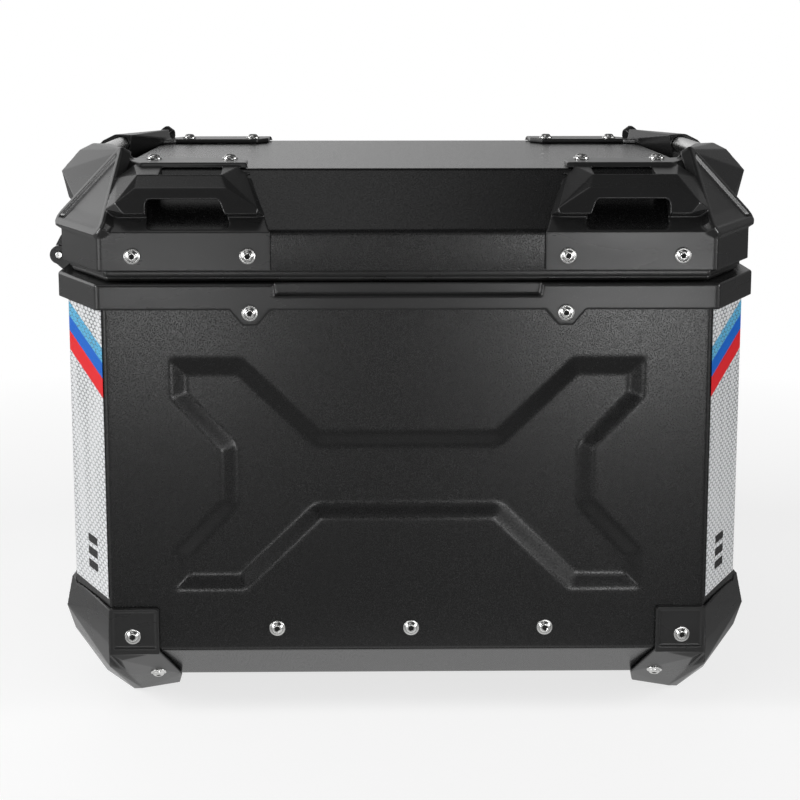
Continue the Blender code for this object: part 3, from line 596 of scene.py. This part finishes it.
def screw_mesh(length, share=1.0):
    """A flanged button head with a hexagon socket and a plain shank, standing on its seat along +Z."""
    sides = 36
    turns = [math.tau * i / sides for i in range(sides)]

    def hexagon(grow):
        return [(SOCKET_AF / 2 + grow) / math.cos((a % (math.tau / 6)) - math.tau / 12) for a in turns]

    rings = [
        (SHANK_R, -length), (SHANK_R, 0.0), (HEAD_R, 0.0), (HEAD_R, 0.0005), (HEAD_R * 0.975, 0.00078),
        (HEAD_R * 0.92, 0.00092), (HEAD_R * 0.765, 0.00095), (HEAD_R * 0.745, 0.00105),
        (HEAD_R * 0.725, 0.0015), (HEAD_R * 0.67, 0.0020), (HEAD_R * 0.59, 0.0024),
        (HEAD_R * 0.50, HEAD_H * 0.965), (HEAD_R * 0.44, HEAD_H), (hexagon(0.0002), HEAD_H),
        (hexagon(0.0), HEAD_H - 0.00025), (hexagon(0.0), HEAD_H - SOCKET_DEEP),
        (0.0003, HEAD_H - SOCKET_DEEP - 0.0004),
    ]
    loops = []
    for radius, height in rings:
        radii = radius if isinstance(radius, list) else [radius] * sides
        loops.append([(r * math.cos(a), r * math.sin(a), height) for r, a in zip(radii, turns)])
    bm = skin([[(x * share, y * share, z * share) for x, y, z in loop] for loop in loops])
    mesh = smooth_mesh("screw", bm)
    mesh.set_sharp_from_angle(angle=math.radians(38))
    mesh.materials.append(STEEL)
    mesh.materials.append(SOCKET)
    # Faces inside the socket get the second material, the painted shade of the socket
    for face in mesh.polygons:
        middle = face.center
        near = math.hypot(middle.x, middle.y) < SOCKET_AF * 0.62 * share
        if near and 0.0 < middle.z < (HEAD_H - 0.0003) * share:
            face.material_index = 1
    return mesh


def place_screw(name, mesh, seat, facing, body, turn, node=None):
    """A screw on its seat, with its socket turned by some angle about the way it faces."""
    obj = add_object(name, mesh)
    obj.rotation_mode = "QUATERNION"
    tilt = Vector((0, 0, 1)).rotation_difference(Vector(facing))
    spin = Vector((1, 0, 0)).rotation_difference(Vector((math.cos(turn), math.sin(turn), 0)))
    obj.rotation_quaternion = tilt @ spin
    obj.location = seat
    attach(obj, body)
    if node:
        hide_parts(node)


def screws():
    """Fine screws in the places of the frame's own screws."""
    meshes = {}
    names = sorted(name for name in frame["nodes"] if "screw" in name)
    for i, name in enumerate(names):
        low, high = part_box(name)
        middle = (low + high) / 2
        if "top_screw" in name:
            facing = (0, 0, 1)
            seat = Vector((middle.x, middle.y, high.z - HEAD_H))
            total = high.z - low.z
        else:
            sy = 1.0 if "rear" in name else -1.0
            facing = (0, sy, 0)
            seat = Vector((middle.x, (high.y if sy > 0 else low.y) - sy * HEAD_H, middle.z))
            total = high.y - low.y
        length = round(total - HEAD_H, 4)
        if length not in meshes:
            meshes[length] = screw_mesh(length)
        body = frame["nodes"][name]["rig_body"]
        place_screw(name + "_fine", meshes[length], seat, facing, body, 0.7 * i, name)


def seat_on(node, start, towards):
    """Where a line from outside meets a CAD node, and which way the surface faces there."""
    hit, place, normal, _ = frame["nodes"][node].ray_cast(Vector(start), Vector(towards).normalized())
    if not hit:
        raise RuntimeError(f"no surface of {node} for a screw at {start}")
    return place, normal


def foot_screws():
    """Three screws to a foot: through its front or rear plate, its floor flange and its side plate."""
    mesh = screw_mesh(FOOT_SCREW_LENGTH)
    for side, sy in (("front", -1), ("rear", 1)):
        for hand, sx in (("left", -1), ("right", 1)):
            node = f"foot_{side}_{hand}"
            looks = (
                ("plate", (sx * 0.163, sy * 0.25, 0.0495), (0, -sy, 0)),
                ("flange", (sx * 0.151, sy * 0.190, -0.022), (0, -sy * 0.571, 0.821)),
                ("side", (sx * 0.26, sy * 0.1015, 0.0495), (-sx, 0, 0)),
            )
            for k, (word, start, towards) in enumerate(looks):
                place, normal = seat_on(node, start, towards)
                place_screw(f"{node}_{word}_screw", mesh, place, normal, "case", 0.4 + k + sx + sy)


def hinge_screws():
    """Three small screws through each leaf of the hinge."""
    mesh = screw_mesh(HINGE_SCREW_LENGTH, HINGE_SCREW_SHARE)
    for y in HINGE_SCREW_Y:
        for node, start, towards, body in (
            ("hinge_lid_leaf", (-0.24, y, 0.3010), (0.774, 0, -0.633), "lid"),
            ("hinge_base_leaf", (-0.2435, y, 0.2270), (0.656, 0, 0.755), "case"),
        ):
            place, normal = seat_on(node, start, towards)
            place_screw(f"{node}_screw_{round(y * 1000) + 52}", mesh, place, normal, body, 0.5 + y * 20)


# ---------------------------------------------------------------- CAD nodes that stay

def dress(name, paint):
    """A CAD node with its finish on and smooth shading."""
    obj = frame["nodes"][name]
    obj.data.shade_smooth()
    obj.data.materials.clear()
    obj.data.materials.append(paint)
    weld = obj.modifiers.new("weld", "WELD")
    weld.merge_threshold = 0.00001
    return obj


def soften(name, width, paint):
    """A small CAD node with its triangles merged into flat faces and its edges rounded."""
    obj = dress(name, paint)
    flat = obj.modifiers.new("flat", "DECIMATE")
    flat.decimate_type = "DISSOLVE"
    flat.angle_limit = math.radians(1.0)
    edge = obj.modifiers.new("edge", "BEVEL")
    edge.width = width
    edge.segments = 2
    edge.limit_method = "ANGLE"
    edge.angle_limit = math.radians(25)
    even_shading(obj)


def mould(name, grain, paint, share=0.35):
    """A moulded CAD node remeshed finely and relaxed, so that its edges have a moulding's small radius."""
    obj = dress(name, paint)
    fine = obj.modifiers.new("fine", "REMESH")
    fine.mode = "VOXEL"
    fine.voxel_size = grain
    fine.use_smooth_shade = True
    relax = obj.modifiers.new("relax", "SMOOTH")
    relax.factor = 0.5
    relax.iterations = 3
    light = obj.modifiers.new("light", "DECIMATE")
    light.ratio = share


def keep_cad_nodes():
    """Finishes and rounded edges for the nodes that keep their CAD meshes."""
    corners = [f"{side}_{hand}" for side in ("front", "rear") for hand in ("left", "right")]
    mould("collar_frame", 0.00055, PLASTIC, 0.2)
    for corner in corners:
        mould(f"bracket_{corner}", 0.0006, PLASTIC)
        mould(f"foot_{corner}", 0.0005, PLASTIC)
        soften(f"reflector_{corner}", 0.00005, FILM)
    for name, width, paint in (
        ("rail_left", 0.0003, STEEL), ("rail_right", 0.0003, STEEL), ("hinge_pin", 0.0004, STEEL),
        ("hinge_base_leaf", 0.0003, PLASTIC), ("hinge_lid_leaf", 0.0003, PLASTIC),
        ("hasp_mount", 0.0005, PLASTIC), ("hasp_pin", 0.0003, STEEL), ("hasp", 0.0005, PLASTIC),
        ("key_cylinder", 0.0003, STEEL), ("catch_plate", 0.0003, STEEL),
        ("receiver_plate", 0.0004, PLASTIC), ("release_knob", 0.0008, PLASTIC),
        ("release_cam", 0.0004, PLASTIC), ("floor_mat", 0.0006, FELT),
    ):
        soften(name, width, paint)


# ---------------------------------------------------------------- stage, light and camera

# Strengths of the surroundings, and of the floor as the camera sees it and as the case mirrors it
AMBIENT = 0.06
BACKDROP = 0.90
FLOOR_R = 6.0
FLOOR_Z = -0.0002
FLOOR_GLOW = 0.74
FLOOR_TONE = 0.30
FLOOR_MIRRORED = 0.10
FLOOR_RIGHT_SHARE = 0.12

# Where along Y the lamps in front of the case stand
LAMP_Y = -1.45

CAMERA_LENS = 89.06
CAMERA_SENSOR = 36.0
CAMERA_PLACE = (-0.023, -1.3165, 0.4005)
CAMERA_PITCH = -10.47
CAMERA_YAW = 0.93


def floor():
    """A pale floor that fades into the white background. Mirrored it is dimmer, most so at the right."""
    bm = bmesh.new()
    bmesh.ops.create_circle(bm, cap_ends=True, segments=96, radius=FLOOR_R)
    mesh = bpy.data.meshes.new("floor")
    bm.to_mesh(mesh)
    bm.free()
    paint = Paint("floor", (FLOOR_TONE,) * 3, 0.6)
    grain = paint.noise(30.0, 3.0)
    paint.set("Base Color", paint.mix(grain, (FLOOR_TONE,) * 3, (FLOOR_TONE * 1.04,) * 3))
    paint.shader.inputs["Specular IOR Level"].default_value = 0.1
    reach = paint.add("ShaderNodeVectorMath", operation="LENGTH")
    paint.feed(reach.inputs[0], paint.place)
    near = paint.spread(reach.outputs["Value"], 0.20, 0.36, FLOOR_GLOW, FLOOR_MIRRORED)
    place = paint.add("ShaderNodeSeparateXYZ")
    paint.feed(place.inputs[0], paint.place)
    right = paint.spread(place.outputs["X"], 0.19, 0.26, 1.0, FLOOR_RIGHT_SHARE)
    mirrored = paint.math("MULTIPLY", near, right)
    seen = paint.add("ShaderNodeLightPath").outputs["Is Camera Ray"]
    glow = paint.math("ADD", paint.math("MULTIPLY", seen, FLOOR_GLOW),
                      paint.math("MULTIPLY", paint.math("SUBTRACT", 1.0, seen), mirrored))
    paint.set("Emission Color", (1, 1, 1, 1))
    paint.set("Emission Strength", glow)
    white = paint.add("ShaderNodeEmission")
    far = paint.math("MULTIPLY", seen, paint.spread(reach.outputs["Value"], 0.45, 1.1))
    blend = paint.add("ShaderNodeMixShader")
    paint.feed(blend.inputs[0], far)
    paint.feed(blend.inputs[1], paint.shader.outputs[0])
    paint.feed(blend.inputs[2], white.outputs[0])
    paint.feed(paint.tree.nodes["Material Output"].inputs["Surface"], blend.outputs[0])
    mesh.materials.append(paint.material)
    obj = add_object("floor", mesh)
    obj.location.z = FLOOR_Z


def area_light(name, place, target, width, height, power):
    data = bpy.data.lights.new(name, "AREA")
    data.shape = "RECTANGLE"
    data.size = width
    data.size_y = height
    data.energy = power
    obj = add_object(name, data)
    obj.location = place
    obj.rotation_euler = (Vector(target) - Vector(place)).to_track_quat("-Z", "Y").to_euler()
    obj.visible_camera = False


def lights():
    """Small lamps mirrored in the front, and larger ones for the edges, the top and the sides."""
    aim = (0.0, -HALF_D, 0.15)
    area_light("right_main", (0.305, LAMP_Y, 0.125), aim, 0.20, 0.22, 1.25)
    area_light("right_wide", (0.70, LAMP_Y, 0.29), aim, 0.50, 0.24, 0.85)
    area_light("right_top", (0.38, LAMP_Y, 0.43), aim, 0.24, 0.14, 0.16)
    area_light("left_main", (-0.285, LAMP_Y, 0.125), aim, 0.18, 0.20, 0.80)
    area_light("left_wide", (-0.80, LAMP_Y, 0.27), aim, 0.40, 0.20, 0.2)
    area_light("over_camera", (0.0, LAMP_Y, 0.56), aim, 0.60, 0.15, 0.15)
    area_light("overhead", (-0.55, -0.70, 2.00), (0.0, 0.0, 0.2), 1.2, 1.2, 3.6)
    area_light("left_edge", (-1.25, -0.95, 0.18), aim, 0.90, 0.35, 3.0)
    area_light("right_edge", (1.25, -0.95, 0.18), aim, 0.90, 0.35, 1.0)
    area_light("side_left", (-1.50, -0.50, 0.75), (0, 0, 0.15), 0.6, 0.8, 16.5)
    area_light("side_right", (1.50, -0.50, 0.60), (0, 0, 0.15), 0.6, 0.8, 12.0)


def world():
    """White to the camera. What lights the case is bright low behind it, most at the left, else dim."""
    made = bpy.data.worlds.new("studio")
    bpy.context.scene.world = made
    made.use_nodes = True
    tree = made.node_tree
    links = tree.links
    place = tree.nodes.new("ShaderNodeTexCoord")
    split = tree.nodes.new("ShaderNodeSeparateXYZ")
    links.new(place.outputs["Generated"], split.inputs[0])

    def fade(value, low, high, to_low, to_high):
        node = tree.nodes.new("ShaderNodeMapRange")
        node.interpolation_type = "SMOOTHSTEP"
        for socket, number in zip(node.inputs[1:5], (low, high, to_low, to_high)):
            socket.default_value = number
        links.new(value, node.inputs["Value"])
        return node.outputs["Result"]

    behind = fade(split.outputs["Y"], -0.1, 0.7, 0.0, BACKDROP)
    low = fade(split.outputs["Z"], 0.15, 0.7, 1.0, 0.0)
    left = fade(split.outputs["X"], -0.7, 0.75, 1.25, 0.02)
    both = tree.nodes.new("ShaderNodeMath")
    both.operation = "MULTIPLY"
    links.new(low, both.inputs[0])
    links.new(left, both.inputs[1])
    product = tree.nodes.new("ShaderNodeMath")
    product.operation = "MULTIPLY_ADD"
    links.new(behind, product.inputs[0])
    links.new(both.outputs[0], product.inputs[1])
    product.inputs[2].default_value = AMBIENT
    seen = tree.nodes.new("ShaderNodeLightPath")
    amount = tree.nodes.new("ShaderNodeMix")
    links.new(seen.outputs["Is Camera Ray"], amount.inputs[0])
    links.new(product.outputs[0], amount.inputs[2])
    amount.inputs[3].default_value = 1.0
    sky = tree.nodes["Background"]
    sky.inputs["Color"].default_value = (1, 1, 1, 1)
    links.new(amount.outputs[0], sky.inputs["Strength"])


def camera():
    data = bpy.data.cameras.new("camera")
    data.lens = CAMERA_LENS
    data.sensor_width = CAMERA_SENSOR
    obj = add_object("camera", data)
    obj.location = CAMERA_PLACE
    obj.rotation_euler = (math.radians(90) + math.radians(CAMERA_PITCH), 0.0, -math.radians(CAMERA_YAW))
    bpy.context.scene.camera = obj


wall_shell()
floor_tray()
lid_shell()
lid_rim()
lid_seal()
screws()
foot_screws()
hinge_screws()
keep_cad_nodes()
floor()
lights()
world()
camera()
bpy.context.scene.view_settings.view_transform = "Standard"
